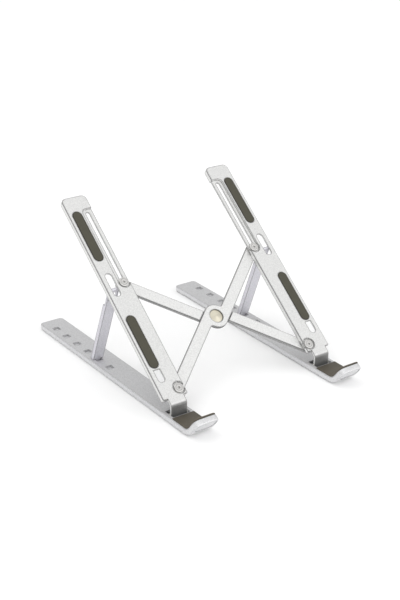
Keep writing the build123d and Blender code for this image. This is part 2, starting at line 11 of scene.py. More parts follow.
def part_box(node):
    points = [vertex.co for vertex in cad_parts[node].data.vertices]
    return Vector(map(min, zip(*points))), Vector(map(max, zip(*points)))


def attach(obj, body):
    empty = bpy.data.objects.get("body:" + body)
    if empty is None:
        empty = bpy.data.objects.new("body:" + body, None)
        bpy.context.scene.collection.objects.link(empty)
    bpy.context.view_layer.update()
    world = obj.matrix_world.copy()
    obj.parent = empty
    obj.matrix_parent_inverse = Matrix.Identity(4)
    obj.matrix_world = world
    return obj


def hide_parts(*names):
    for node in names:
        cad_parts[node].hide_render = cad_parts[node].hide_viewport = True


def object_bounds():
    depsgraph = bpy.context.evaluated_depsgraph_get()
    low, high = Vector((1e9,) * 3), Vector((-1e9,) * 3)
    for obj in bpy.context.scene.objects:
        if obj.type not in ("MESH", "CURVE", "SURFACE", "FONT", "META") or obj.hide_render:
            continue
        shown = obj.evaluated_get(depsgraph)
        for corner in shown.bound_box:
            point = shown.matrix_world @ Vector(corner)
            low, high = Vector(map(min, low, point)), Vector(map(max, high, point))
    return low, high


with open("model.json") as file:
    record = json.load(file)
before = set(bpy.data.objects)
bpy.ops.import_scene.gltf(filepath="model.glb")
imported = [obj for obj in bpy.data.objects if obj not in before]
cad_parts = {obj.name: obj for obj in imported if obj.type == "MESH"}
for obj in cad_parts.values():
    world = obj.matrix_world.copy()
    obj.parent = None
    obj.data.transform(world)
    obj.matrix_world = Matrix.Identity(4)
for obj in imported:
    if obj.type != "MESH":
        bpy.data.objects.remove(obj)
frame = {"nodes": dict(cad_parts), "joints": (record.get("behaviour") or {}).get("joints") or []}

bl_info = {
    "name": "Folding Laptop Stand",
    "version": (1, 0, 0),
    "blender": (4, 5, 0),
    "location": "3D View > Sidebar > Stand",
    "description": "Finishes and soft parts of a folding aluminium laptop stand",
    "category": "Object",
}

MILLIMETRE = 0.001
# The dark line along the edges of the aluminium is painted shade.
EDGE_SHADE_REACH = 1.2 * MILLIMETRE    # how far the dark line reaches from an edge
QUARTER_TURN = 0.25             # anisotropic rotation counts whole turns
SIDES = ("left", "right")
CAD_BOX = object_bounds()


def linear(hex_colour):
    """An sRGB hex colour as linear red, green and blue."""
    values = np.array([int(hex_colour[i:i + 2], 16) for i in (1, 3, 5)]) / 255
    return tuple(np.where(values <= 0.04045, values / 12.92, ((values + 0.055) / 1.055) ** 2.4).tolist())


# ---- settings -----------------------------------------------------------------------------------
def length(name, description, default):
    """A length property; the default is in millimetres."""
    return FloatProperty(name=name, description=description, default=default * MILLIMETRE, unit="LENGTH")


def angle(name, description, default):
    """An angle property; the default is in degrees."""
    return FloatProperty(name=name, description=description, default=radians(default), subtype="ANGLE")


def colour(name, description, default):
    """A colour property; the default is an sRGB hex value."""
    return FloatVectorProperty(
        name=name, description=description, default=linear(default), subtype="COLOR", min=0, max=1
    )


class StandFinishes(bpy.types.PropertyGroup):
    """Colours of the stand's materials."""

    arm: colour("Arms", "Silver anodised arms", "#D4D4D3")
    # The links' tint is lighter than the arms' as painted light, making up for the shade that the arms cast
    # on them.
    link: colour("Links", "Silver anodised scissor links, a little lighter", "#DADAD9")
    # The rails' tint is darker than the arms' as painted shade, for how dim their tops look under the studio
    # light.
    rail: colour("Rails", "Silver anodised base rails, a little darker", "#CBCBCC")
    prop: colour("Props", "Silver anodised props, a little cooler", "#D2D1D7")
    steel: colour("Rivets", "Turned steel of the rivet heads", "#D2D1CF")
    centre: colour("Centre rivet", "Turned nickel silver of the centre rivet", "#DED8C6")
    pad: colour("Pads", "Olive grey silicone of the pads on the arms", "#403E33")
    liner: colour("Liners", "Olive brown silicone of the hook liners", "#544E42")
    foot: colour("Feet", "Dark rubber under the rails", "#2B2B2A")
    nylon: colour("Nylon", "Natural nylon of washers and bushes", "#E6E4DC")
    floor: colour("Floor", "Pale table top", "#F7F7F7")


class PadSizes(bpy.types.PropertyGroup):
    """Moulding details of the pads on the arms."""

    edge: length("Edge radius", "Rounding of the pad's top edge", 0.35)
    rim: length("Rim", "Width of the raised rim", 0.5)
    dish: length("Dish", "Depth of the field inside the rim", 0.08)
    around: IntProperty(name="Points", description="Points round each end", default=48, min=16)


class HookSizes(bpy.types.PropertyGroup):
    """The hook that the liner follows."""

    lean: angle("Lean", "Lean of the lip from upright", 36)
    bend: length("Bend radius", "Inner radius of the hook's bend", 9.0)
    thickness: length("Thickness", "Thickness of the liner", 0.8)
    corner: length("Corner radius", "Radius of the liner's corners on the lip", 5.2)
    edge: length("Edge radius", "Rounding of the liner's long edges", 0.3)


class RivetSizes(bpy.types.PropertyGroup):
    """Turned details of the rivet heads."""

    rim: length("Rim radius", "Rounding of the head's rim", 0.5)
    groove: length("Groove radius", "Radius of the ring groove", 2.78)
    socket: length("Socket", "Half the width across the flats of the hexagon socket", 1.08)
    socket_depth: length("Socket depth", "Depth of the hexagon socket", 0.9)


class FootSizes(bpy.types.PropertyGroup):
    """Moulding details of the feet."""

    corner: length("Corner radius", "Radius of the feet's corners", 1.5)
    edge: length("Edge radius", "Rounding of the lower edges", 0.3)


class StageSizes(bpy.types.PropertyGroup):
    """Floor, lights and camera."""

    floor: FloatProperty(name="Floor", description="Width of the floor", default=9.0, unit="LENGTH")
    azimuth: angle("Azimuth", "View round the stand", -37.10)
    elevation: angle("Elevation", "View above the table", 24.92)
    roll: angle("Roll", "Camera's roll", 1.461)
    distance: FloatProperty(name="Distance", description="Camera to target", default=1.04563, unit="LENGTH")
    target: FloatVectorProperty(
        name="Target", description="Point looked at", default=(-0.00551, -0.01236, 0.060)
    )
    lens: FloatProperty(name="Lens", description="Focal length in millimetres", default=73.39, unit="CAMERA")


# ---- meshes from arrays -------------------------------------------------------------------------
def grid_faces(rows, columns, wrap_rows, wrap_columns):
    """Corner numbers of the quads between neighbouring rows and columns of a grid."""
    i = np.arange(rows if wrap_rows else rows - 1)[:, None]
    j = np.arange(columns if wrap_columns else columns - 1)[None, :]
    down, right = (i + 1) % rows, (j + 1) % columns
    corners = (i * columns + j, down * columns + j, down * columns + right, i * columns + right)
    return np.stack([np.broadcast_to(c, (i.size, j.size)) for c in corners], axis=-1).reshape(-1, 4)


def surface(name, points, wrap_rows=False, wrap_columns=False, uv=None, recess=None):
    """A mesh object from a rows x columns array of points, with its faces turned outwards.

    The faces point outwards where the sum of the tetrahedra from the middle to them is positive.
    uv holds two values for each point; across a wrapped seam the larger row and column go on. recess
    holds one value for each row, 1 where the material paints shade, as in a groove, a socket or on a rim.
    """
    rows, columns = points.shape[:2]
    faces = grid_faces(rows, columns, wrap_rows, wrap_columns)
    flat = points.reshape(-1, 3)
    centred = flat - flat.mean(axis=0)
    a, b, c, d = (centred[faces[:, k]] for k in range(4))
    volume = np.einsum("ij,ij->", a, np.cross(b, c)) + np.einsum("ij,ij->", a, np.cross(c, d))
    if volume < 0:
        faces = faces[:, ::-1]
    mesh = bpy.data.meshes.new(name)
    mesh.vertices.add(len(flat))
    mesh.vertices.foreach_set("co", flat.astype(np.float32).ravel())
    mesh.loops.add(faces.size)
    mesh.loops.foreach_set("vertex_index", faces.astype(np.int32).ravel())
    mesh.polygons.add(len(faces))
    mesh.polygons.foreach_set("loop_start", np.arange(0, faces.size, 4, dtype=np.int32))
    mesh.update(calc_edges=True)
    if uv is not None:
        values = uv.reshape(-1, 2)[faces]
        span = values.max(axis=1, keepdims=True) - values
        values = np.where((span > 0.5) & wrapped_axes(wrap_rows, wrap_columns), values + 1.0, values)
        layer = mesh.uv_layers.new(name="UVMap")
        layer.data.foreach_set("uv", values.astype(np.float32).ravel())
    if recess is not None:
        values = np.repeat(np.asarray(recess, np.float32), columns)
        mesh.attributes.new("recess", "FLOAT", "POINT").data.foreach_set("value", values)
    close_poles(mesh)
    mesh.polygons.foreach_set("use_smooth", np.ones(len(mesh.polygons), dtype=bool))
    piece = bpy.data.objects.new(name, mesh)
    bpy.context.scene.collection.objects.link(piece)
    return piece


def wrapped_axes(wrap_rows, wrap_columns):
    """Which of u and v may jump at a seam: u runs along wrapped columns, v along wrapped rows."""
    return np.array([wrap_columns, wrap_rows])[None, None, :]


def close_poles(mesh):
    """Merge the points that fall together where a grid closes to a point or a line."""
    work = bmesh.new()
    work.from_mesh(mesh)
    bmesh.ops.remove_doubles(work, verts=work.verts, dist=1e-7)
    bmesh.ops.dissolve_degenerate(work, edges=work.edges, dist=1e-8)
    work.to_mesh(mesh)
    work.free()


def outline_rings(width, depth, corner, insets, count):
    """Rings of a rounded rectangle, one for each inset.

    A circle of the corner's radius is cut along both axes and its quarters are moved apart. An inset
    first takes the radius down, and what is left of it then takes the straight sides in.
    """
    t = (np.arange(count) + 0.5) * 2 * pi / count
    insets = np.asarray(insets)[:, None]
    radius = np.maximum(corner - insets, 0)
    rest = np.maximum(insets - corner, 0)
    x = radius * np.cos(t) + np.maximum(width / 2 - corner - rest, 0) * np.sign(np.cos(t))
    y = radius * np.sin(t) + np.maximum(depth / 2 - corner - rest, 0) * np.sign(np.sin(t))
    return x, y


def arc(start, end, centre, radius, count):
    """Points round a circle from one angle to another, in degrees, as an array of pairs."""
    t = np.radians(np.linspace(start, end, count))
    return np.stack([centre[0] + radius * np.cos(t), centre[1] + radius * np.sin(t)], axis=1)


# ---- places from the frame ----------------------------------------------------------------------
def joint(name):
    """The joint of that name."""
    return next(j for j in frame["joints"] if j["name"] == name)


def arm_axes():
    """Unit vectors across, along and square to the arms, as the rows of an array."""
    square = np.array(joint("scissor_fold")["axis"], float)
    square /= np.linalg.norm(square)
    return np.array([[1, 0, 0], np.cross(square, [1, 0, 0]), square])


def node_points(node):
    """The points of a CAD node, as an array."""
    mesh = frame["nodes"][node].data
    points = np.empty(len(mesh.vertices) * 3, np.float32)
    mesh.vertices.foreach_get("co", points)
    return points.reshape(-1, 3).astype(float)


def local_box(node, axes):
    """Lowest and highest corner of a CAD node along the given axes."""
    local = node_points(node) @ axes.T
    return local.min(axis=0), local.max(axis=0)


def add_piece(piece, body, material, slot, *nodes):
    """Give a finished piece its material, body and the CAD nodes that it stands for."""
    piece.data.materials.append(bpy.data.materials[material])
    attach(piece, body)
    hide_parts(*nodes)


# ---- materials ----------------------------------------------------------------------------------
def add_node(tree, kind, settings=None, inputs=None):
    """Add a node; an input's value is a constant, or the socket that it is linked from."""
    node = tree.nodes.new(kind)
    for name, value in (settings or {}).items():
        setattr(node, name, value)
    for name, value in (inputs or {}).items():
        if isinstance(value, bpy.types.NodeSocket):
            tree.links.new(value, node.inputs[name])
        else:
            node.inputs[name].default_value = value
    return node


def new_material(name):
    """An empty node material with an output, and its Principled shader."""
    material = bpy.data.materials.new(name)
    material.use_nodes = True
    tree = material.node_tree
    tree.nodes.clear()
    shader = add_node(tree, "ShaderNodeBsdfPrincipled")
    add_node(tree, "ShaderNodeOutputMaterial", inputs={"Surface": shader.outputs["BSDF"]})
    return tree, shader


def per_metre(millimetres):
    """Noise scale of a feature of that size, for Object coordinates in metres."""
    return 1 / (millimetres * MILLIMETRE)


def spread(tree, value, start, end, low, high):
    """The value, mapped in a straight line so that start becomes low and end becomes high."""
    limits = {"From Min": start, "From Max": end, "To Min": low, "To Max": high}
    return add_node(tree, "ShaderNodeMapRange", inputs={"Value": value, **limits}).outputs["Result"]


def compute(tree, operation, first, second=0.0):
    """One step of arithmetic."""
    return add_node(tree, "ShaderNodeMath", {"operation": operation}, {0: first, 1: second}).outputs["Value"]


def dot(tree, first, second):
    """The dot product of two vectors."""
    product = add_node(tree, "ShaderNodeVectorMath", {"operation": "DOT_PRODUCT"}, {0: first, 1: second})
    return product.outputs["Value"]


def noise(tree, place, size, detail, roughness=0.5):
    """Noise about 0.5 whose features have that size, in millimetres."""
    inputs = {"Vector": place, "Scale": per_metre(size), "Detail": detail, "Roughness": roughness}
    return add_node(tree, "ShaderNodeTexNoise", inputs=inputs).outputs["Fac"]


def recessed(tree):
    """The attribute "recess" of the piece's points, 1 where painted shade goes."""
    return add_node(tree, "ShaderNodeAttribute", {"attribute_name": "recess"}).outputs["Fac"]


def tinted(tree, tint, level):
    """The colour, times a level."""
    settings = {"data_type": "RGBA", "blend_type": "MULTIPLY"}
    return add_node(tree, "ShaderNodeMix", settings, {0: 1.0, 6: (*tint, 1), 7: level}).outputs[2]


def bumped(tree, height, strength, depth):
    """The normal of a surface whose height varies by that depth, in millimetres."""
    inputs = {"Strength": strength, "Distance": depth * MILLIMETRE, "Height": height}
    return add_node(tree, "ShaderNodeBump", inputs=inputs).outputs["Normal"]


def set_shader(tree, shader, links, **constants):
    """Link the shader's sockets, and set the others; a constant's name has _ for each space."""
    for name, socket in links.items():
        tree.links.new(socket, shader.inputs[name])
    for name, value in constants.items():
        shader.inputs[name.replace("_", " ")].default_value = value


def painted_edge_shade(tree):
    """Mask of the painted shade along edges: 1 along edges, 0 elsewhere, from how far a rounded normal leans
    from the true one.
    """
    bevel = add_node(tree, "ShaderNodeBevel", {"samples": 6}, {"Radius": EDGE_SHADE_REACH})
    facing = dot(tree, bevel.outputs["Normal"], add_node(tree, "ShaderNodeNewGeometry").outputs["Normal"])
    return spread(tree, facing, 0.998, 0.97, 0.0, 1.0)


def blasted_aluminium(name, tint, line, square=None, sides=1.0, rounded=True):
    """Aluminium, glass-bead blasted and then anodised silver.

    The beads leave even, fine dimples of about 0.1 mm, drawn here at 1 mm so that they show, and the
    oxide gives a soft, whitish gloss with faint clouds where the blast was heavier. Edges get a dark
    line of painted shade, which stands in for the dark reflections in their rounding: `line` is what is
    left of the colour there. On a flat piece, `square` points out of its face, and the colour of faces
    that lean far from it is multiplied by `sides`: painted light where that is above 1, painted shade
    where it is below 1. Where the piece is rounded between the two, the rounding gets the painted dark
    line too.
    """
    tree, shader = new_material(name)
    # painted shade: the mask darkens the colour along every edge
    edge, side = painted_edge_shade(tree), 1.0
    if square is not None:
        lean = dot(tree, add_node(tree, "ShaderNodeTexCoord").outputs["Normal"], square)
        size = compute(tree, "ABSOLUTE", lean)
        # painted light or painted shade: faces that lean far from the square get their colour scaled by sides
        side = spread(tree, size, 0.65, 0.95, sides, 1.0)
        if rounded:
            # size * (1 - size) is 0 on the face and on upright sides, and large between them, where the
            # rounding gets the painted dark edge line too
            between = compute(tree, "MULTIPLY", size, compute(tree, "SUBTRACT", 1.0, size))
            edge = compute(tree, "MAXIMUM", edge, spread(tree, between, 0.01, 0.09, 0.0, 1.0))
    # the painted dark edge line, times the painted light or painted shade of the sides
    outline = compute(tree, "MULTIPLY", spread(tree, edge, 0.0, 1.0, 1.0, line), side)
    place = add_node(tree, "ShaderNodeTexCoord").outputs["Object"]
    dimples = noise(tree, place, 1.0, 1.0)
    clouds = noise(tree, place, 14, 3.0)
    level = compute(tree, "MULTIPLY", spread(tree, dimples, 0.3, 0.7, 0.91, 1.09), outline)
    links = {
        "Base Color": tinted(tree, tint, level),
        "Roughness": spread(tree, clouds, 0.35, 0.65, 0.46, 0.50),
        "Normal": bumped(tree, dimples, 0.12, 0.03),
    }
    set_shader(tree, shader, links, Metallic=0.72)


def turned_metal(name, tint, roughness, anisotropy, pitch, painted_shade_left):
    """Metal turned on a lathe: fine grooves round the axis stretch each highlight across them.

    The piece's UV map has its angle as u and its way along the profile, in metres, as v. The tangent
    follows the grooves, so the highlights are a quarter turn from it. The tool's feed is about 0.05 mm,
    drawn here at the given pitch so that it shows. The attribute "recess" is 1 in grooves, sockets and
    the other rows to be darkened. There, painted shade leaves only the share of the metal's colour that
    the last argument gives.
    """
    tree, shader = new_material(name)
    place = add_node(tree, "ShaderNodeUVMap", {"uv_map": "UVMap"}).outputs["UV"]
    split = add_node(tree, "ShaderNodeSeparateXYZ", inputs={"Vector": place})
    along = add_node(tree, "ShaderNodeCombineXYZ", inputs={"X": split.outputs["Y"]}).outputs["Vector"]
    grooves = noise(tree, along, pitch, 2.0)
    # painted shade in grooves and sockets and round the head's rim
    painted_shade = spread(tree, recessed(tree), 0.0, 1.0, 1.0, painted_shade_left)
    level = compute(tree, "MULTIPLY", spread(tree, grooves, 0.3, 0.7, 0.94, 1.04), painted_shade)
    tangent = add_node(tree, "ShaderNodeTangent", {"direction_type": "UV_MAP", "uv_map": "UVMap"})
    links = {
        "Base Color": tinted(tree, tint, level),
        "Normal": bumped(tree, grooves, 0.25, 0.02),
        "Tangent": tangent.outputs["Tangent"],
    }
    constants = {"Metallic": 1.0, "Roughness": roughness, "Anisotropic": anisotropy}
    set_shader(tree, shader, links, Anisotropic_Rotation=QUARTER_TURN, **constants)


def moulded_rubber(name, tint, roughness, grain, depth):
    """Silicone rubber moulded in a spark-eroded tool: a dull, even, fine grain.

    The grain's size and depth are in millimetres. The attribute "recess" is 1 on a piece's rim, where
    it meets its seat; there the colour is darkened as painted shade.
    """
    tree, shader = new_material(name)
    place = add_node(tree, "ShaderNodeTexCoord").outputs["Object"]
    pits = noise(tree, place, grain, 3.0, 0.65)
    dust = noise(tree, place, 6, 4.0, 0.6)
    worn = compute(
        tree,
        "MULTIPLY",
        spread(tree, pits, 0.3, 0.7, 0.88, 1.12),
        spread(tree, dust, 0.35, 0.7, 0.96, 1.06),
    )
    # painted shade on the rim and underside, where they meet the seat
    level = compute(tree, "MULTIPLY", worn, spread(tree, recessed(tree), 0.0, 1.0, 1.0, 0.35))
    links = {"Base Color": tinted(tree, tint, level), "Normal": bumped(tree, pits, 0.35, depth)}
    set_shader(tree, shader, links, Roughness=roughness, IOR=1.43)


def moulded_nylon(name, tint):
    """Natural nylon 6, injection moulded: milky, with a soft satin gloss."""
    tree, shader = new_material(name)
    place = add_node(tree, "ShaderNodeTexCoord").outputs["Object"]
    flow = noise(tree, place, 1.2, 2.0)
    links = {"Base Color": tinted(tree, tint, spread(tree, flow, 0.3, 0.7, 0.95, 1.03))}
    set_shader(tree, shader, links, Roughness=0.4, IOR=1.53)


def drawn_steel(name, tint):
    """Steel wire drawn through a die: bright, with faint lines along it."""
    tree, shader = new_material(name)
    place = add_node(tree, "ShaderNodeTexCoord").outputs["Object"]
    stretched = add_node(tree, "ShaderNodeMapping", inputs={"Vector": place, "Scale": (0.03, 1.0, 1.0)})
    lines = noise(tree, stretched.outputs["Vector"], 0.3, 2.0)
    set_shader(tree, shader, {"Normal": bumped(tree, lines, 0.2, 0.02)}, Metallic=1.0, Roughness=0.28)
    shader.inputs["Base Color"].default_value = (*tint, 1)


def laminate(name, tint):
    """White laminate, pressed to a matt surface, with a hardly visible mottle."""
    tree, shader = new_material(name)
    place = add_node(tree, "ShaderNodeTexCoord").outputs["Object"]
    mottle = noise(tree, place, 60, 3.0)
    links = {"Base Color": tinted(tree, tint, spread(tree, mottle, 0.3, 0.7, 0.985, 1.0))}
    set_shader(tree, shader, links, Roughness=0.8)


# ---- operators ----------------------------------------------------------------------------------
class STAND_OT_materials(bpy.types.Operator):
    """Make the materials of the stand and give the carried-over CAD pieces theirs"""

    bl_idname = "stand.materials"
    bl_label = "Materials"

    def execute(self, context):
        finish = context.scene.stand_finishes
        square = tuple(arm_axes()[2])
        # line is what the painted dark edge line leaves of the colour; sides above 1 is painted light on the
        # sides, below 1 painted shade
        blasted_aluminium("bead_blasted_anodised_arm", finish.arm, line=0.34, square=square, sides=1.12)
        blasted_aluminium("bead_blasted_anodised_link", finish.link, line=0.4, square=square, sides=0.5)
        blasted_aluminium(
            "bead_blasted_anodised_rail", finish.rail, line=0.6, square=(0, 0, 1), sides=1.12, rounded=False
        )
        blasted_aluminium("bead_blasted_anodised_prop", finish.prop, line=0.5)
        # The last argument of each turned metal is the share of colour that painted shade leaves in its
        # grooves and sockets.
        turned_metal(
            "turned_steel", finish.steel, roughness=0.22, anisotropy=0.35, pitch=0.30, painted_shade_left=0.75
        )
        turned_metal(
            "turned_nickel_silver", finish.centre, roughness=0.3, anisotropy=0.95, pitch=0.35, painted_shade_left=0.3
        )
        silicone = {"grain": 0.35, "depth": 0.04}
        moulded_rubber("moulded_silicone_pad", finish.pad, roughness=0.62, **silicone)
        moulded_rubber("moulded_silicone_liner", finish.liner, roughness=0.50, **silicone)
        moulded_rubber("moulded_rubber_foot", finish.foot, roughness=0.7, grain=0.5, depth=0.06)
        moulded_nylon("natural_nylon", finish.nylon)
        drawn_steel("cold_drawn_steel", finish.steel)
        nylon = ("hinge_washers", "pivot_spacer", "slider_bush")
        users = {
            "bead_blasted_anodised_arm": ["arm_left", "arm_right"],
            "bead_blasted_anodised_link": ["link_a", "link_b"],
            "bead_blasted_anodised_rail": ["base_left", "base_right"],
            "bead_blasted_anodised_prop": ["prop_left", "prop_right"],
            "natural_nylon": ["centre_washer"] + [f"{kind}_{side}" for kind in nylon for side in SIDES],
            "cold_drawn_steel": [f"{kind}_{side}" for kind in ("hinge_pin", "prop_pin") for side in SIDES],
        }
        for material, nodes in users.items():
            for node in nodes:
                for place in frame["nodes"][node].material_slots:
                    place.material = bpy.data.materials[material]
        return {"FINISHED"}


class STAND_OT_arm_pads(bpy.types.Operator):
    """Mould the long round-ended pads on the arms"""

    bl_idname = "stand.arm_pads"
    bl_label = "Arm pads"

    def execute(self, context):
        sizes = context.scene.stand_pads
        axes = arm_axes()
        for side in SIDES:
            for place in ("upper", "lower"):
                node = f"arm_pad_{place}_{side}"
                low, high = local_box(node, axes)
                piece = self.pad(f"silicone_pad_{place}_{side}", low, high, axes, sizes)
                add_piece(piece, f"arm_{side}", "moulded_silicone_pad", "pad_rubber", node)
        return {"FINISHED"}

    def pad(self, name, low, high, axes, sizes):
        """A closed obround: flat underside, upright side, quarter-round edge, low rim and a flat field.

        Each ring is the outline, taken in by the profile's first value and raised by its second.
        """
        width, depth, height = high - low
        edge, rim, dish = sizes.edge, sizes.rim, sizes.dish
        rounding = arc(180, 90, (edge, height - edge), edge, 7)
        step = np.linspace(0, 1, 6)
        slope_width, bevel, rim_width = 0.4 * MILLIMETRE, 0.1 * MILLIMETRE, 0.05 * MILLIMETRE
        fall = dish * (1 - np.cos(pi * step)) / 2
        slope = np.stack([edge + rim + step * slope_width, height - fall], axis=1)
        underside = [[width / 2, 0], [bevel, 0], [0, bevel]]
        profile = np.concatenate([underside, rounding, slope, [[width / 2, height - dish]]])
        x, y = outline_rings(width, depth, width / 2, profile[:, 0], 2 * sizes.around)
        z = np.broadcast_to(profile[:, 1:2], x.shape)
        middle = np.array([(low[0] + high[0]) / 2, (low[1] + high[1]) / 2, low[2]])
        # rows that get painted shade: the underside, the side and the rounded edge
        recess = profile[:, 0] < edge + rim_width
        recess[0] = True
        return surface(name, (np.stack([x, y, z], axis=-1) + middle) @ axes, wrap_columns=True, recess=recess)


class STAND_OT_hook_liners(bpy.types.Operator):
    """Lay the silicone liner in each hook, from the rail round the bend and over the lip's top"""

    bl_idname = "stand.hook_liners"
    bl_label = "Hook liners"

    def execute(self, context):
        sizes = context.scene.stand_hooks
        for side in SIDES:
            node = f"hook_liner_{side}"
            low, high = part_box(node)
            piece = self.liner(f"silicone_liner_{side}", node, np.array(low), np.array(high), sizes)
            add_piece(piece, f"base_{side}", "moulded_silicone_liner", "pad_rubber", node)
        return {"FINISHED"}

    def liner(self, name, node, low, high, sizes):
        """A closed strip whose cross-section, a thin rounded rectangle, is carried along the hook.

        The path runs forward on the rail, round the bend at the bend's radius and up the leaning lip.
        Each section is the rounded rectangle, turned square to the path there. On the last stretch of a
        corner's length, each half of it moves in by the corner's radius less the height of its circle.
        """
        turn = pi / 2 - sizes.lean
        start = np.array([high[1], low[2]])
        reach = node_points(node)[:, 1].min()
        lift = high[2] - low[2]
        straight = (lift - sizes.bend * (1 - cos(turn))) / sin(turn)
        bend_y = reach + sizes.bend * sin(turn) + straight * cos(turn)
        centre = (bend_y, low[2] + sizes.bend)
        steps = np.radians(np.linspace(0, np.degrees(turn), 17))
        bend = np.array(centre) - sizes.bend * np.stack([np.sin(steps), np.cos(steps)], axis=1)
        up = np.array([-cos(turn), sin(turn)])
        into_corner = np.sin(np.linspace(0, pi / 2, 13)) * sizes.corner
        lip = bend[-1] + up * (straight - sizes.corner + into_corner)[:, None]
        path = np.concatenate([[start], bend, lip])
        turned = np.concatenate([[0], steps, np.full(len(lip), turn)])
        inset = np.zeros(len(path))
        inset[-len(lip):] = sizes.corner - np.sqrt(sizes.corner**2 - into_corner**2)
        inward = np.stack([np.sin(turned), np.cos(turned)], axis=1)
        width, thick = high[0] - low[0], sizes.thickness
        x, h = outline_rings(width, thick, min(sizes.edge, thick * 0.45), [0.0], 40)
        x, h = x[0], h[0] + thick / 2
        across = x[None, :] - np.sign(x)[None, :] * inset[:, None] + (low[0] + high[0]) / 2
        y = path[:, 0:1] + inward[:, 0:1] * h[None, :]
        z = path[:, 1:2] + inward[:, 1:2] * h[None, :]
        body = np.stack([across, y, z], axis=-1)
        first, last = (np.broadcast_to(ring.mean(axis=0), ring.shape)[None] for ring in (body[0], body[-1]))
        return surface(name, np.concatenate([first, body, last]), wrap_columns=True)


class STAND_OT_feet(bpy.types.Operator):
    """Mould the rubber feet under each rail"""

    bl_idname = "stand.feet"
    bl_label = "Feet"

    def execute(self, context):
        sizes = context.scene.stand_feet
        for side in SIDES:
            node = f"feet_{side}"
            boxes = separate_boxes(node)
            blocks = [self.block(f"{node}_{i}", *box, sizes) for i, box in enumerate(boxes)]
            piece = join_pieces(f"rubber_feet_{side}", blocks)
            add_piece(piece, f"base_{side}", "moulded_rubber_foot", "foot_rubber", node)
        return {"FINISHED"}

    def block(self, name, low, high, sizes):
        """A closed rounded block: its rings go from the middle of the top out, down and back below."""
        width, depth, height = high - low
        rounding = arc(0, -90, (-sizes.edge, sizes.edge), sizes.edge, 6) * (-1, 1)
        middle = min(width, depth) / 2
        profile = np.concatenate([[[middle, height], [0, height]], rounding, [[middle, 0]]])
        x, y = outline_rings(width, depth, sizes.corner, profile[:, 0], 48)
        z = np.broadcast_to(profile[:, 1:2], x.shape)
        centre = np.array([(low[0] + high[0]) / 2, (low[1] + high[1]) / 2, low[2]])
        return surface(name, np.stack([x, y, z], axis=-1) + centre, wrap_columns=True)


def separate_boxes(node):
    """Boxes of a CAD node's separate solids, sorted along Y; a solid's points are linked by its edges."""
    work = bmesh.new()
    work.from_mesh(frame["nodes"][node].data)
    bmesh.ops.remove_doubles(work, verts=work.verts, dist=1e-6)
    boxes, seen = [], set()
    for start in work.verts:
        if start.index in seen:
            continue
        group, ahead = [], [start]
        seen.add(start.index)
        while ahead:
            vertex = ahead.pop()
            group.append(tuple(vertex.co))
            linked = [edge.other_vert(vertex) for edge in vertex.link_edges]
            fresh = [v for v in linked if v.index not in seen]
            seen.update(v.index for v in fresh)
            ahead.extend(fresh)
        group = np.array(group)
        boxes.append((group.min(axis=0), group.max(axis=0)))
    work.free()
    return sorted(boxes, key=lambda box: box[0][1])


def join_pieces(name, pieces):
    """One mesh object from several."""
    work = bmesh.new()
    for piece in pieces:
        work.from_mesh(piece.data)
    mesh = bpy.data.meshes.new(name)
    work.to_mesh(mesh)
    work.free()
    for piece in pieces:
        bpy.data.meshes.remove(piece.data)
    joined = bpy.data.objects.new(name, mesh)
    bpy.context.scene.collection.objects.link(joined)
    return joined


def turned_piece(name, profile, centre, axes, recess, hexagon=None, count=96):
    """A closed surface of revolution about the arm's normal.

    Each ring has the profile's radius and height. Where hexagon is 1, the radius is divided by the
    cosine of the angle from the nearest flat, which makes the ring a hexagon. Edges sharper than 32
    degrees are shaded as sharp.
    """
    t = np.arange(count) * 2 * pi / count
    flat = 1 / np.cos((t + pi / 6) % (pi / 3) - pi / 6)
    share = np.zeros(len(profile)) if hexagon is None else hexagon
    radius = profile[:, 0:1] * (1 + share[:, None] * (flat - 1))
    height = np.broadcast_to(profile[:, 1:2], radius.shape)
    points = np.stack([radius * np.cos(t), radius * np.sin(t), height], axis=-1)
    way = np.concatenate([[0], np.cumsum(np.hypot(*np.diff(profile, axis=0).T))])
    uv = np.stack(np.broadcast_arrays(t / (2 * pi), way[:, None]), axis=-1)
    piece = surface(name, points @ axes + centre, wrap_columns=True, uv=uv, recess=recess)
    piece.data.set_sharp_from_angle(angle=radians(32))
    return piece


class RivetShape:
    """Radii and heights of a CAD rivet, measured from its tail up; its head is the widest part."""

    def __init__(self, node, axes):
        low, high = local_box(node, axes)
        points = node_points(node) @ axes.T
        middle = (low + high) / 2
        radius = np.hypot(points[:, 0] - middle[0], points[:, 1] - middle[1])
        heights = points[:, 2] - low[2]
        near, level = 0.02 * MILLIMETRE, 0.01 * MILLIMETRE
        self.head, self.top = radius.max(), high[2] - low[2]
        at_rim = heights[radius > self.head - near]
        self.under, self.rim_top = at_rim.min(), at_rim.max()
        self.shank = radius[np.abs(heights - self.under) < level].min()
        self.tail = radius[heights < level].max()
        self.tail_top = heights[(radius > self.tail - near) & (heights < self.under / 2)].max()
        self.foot = middle @ axes - axes[2] * self.top / 2


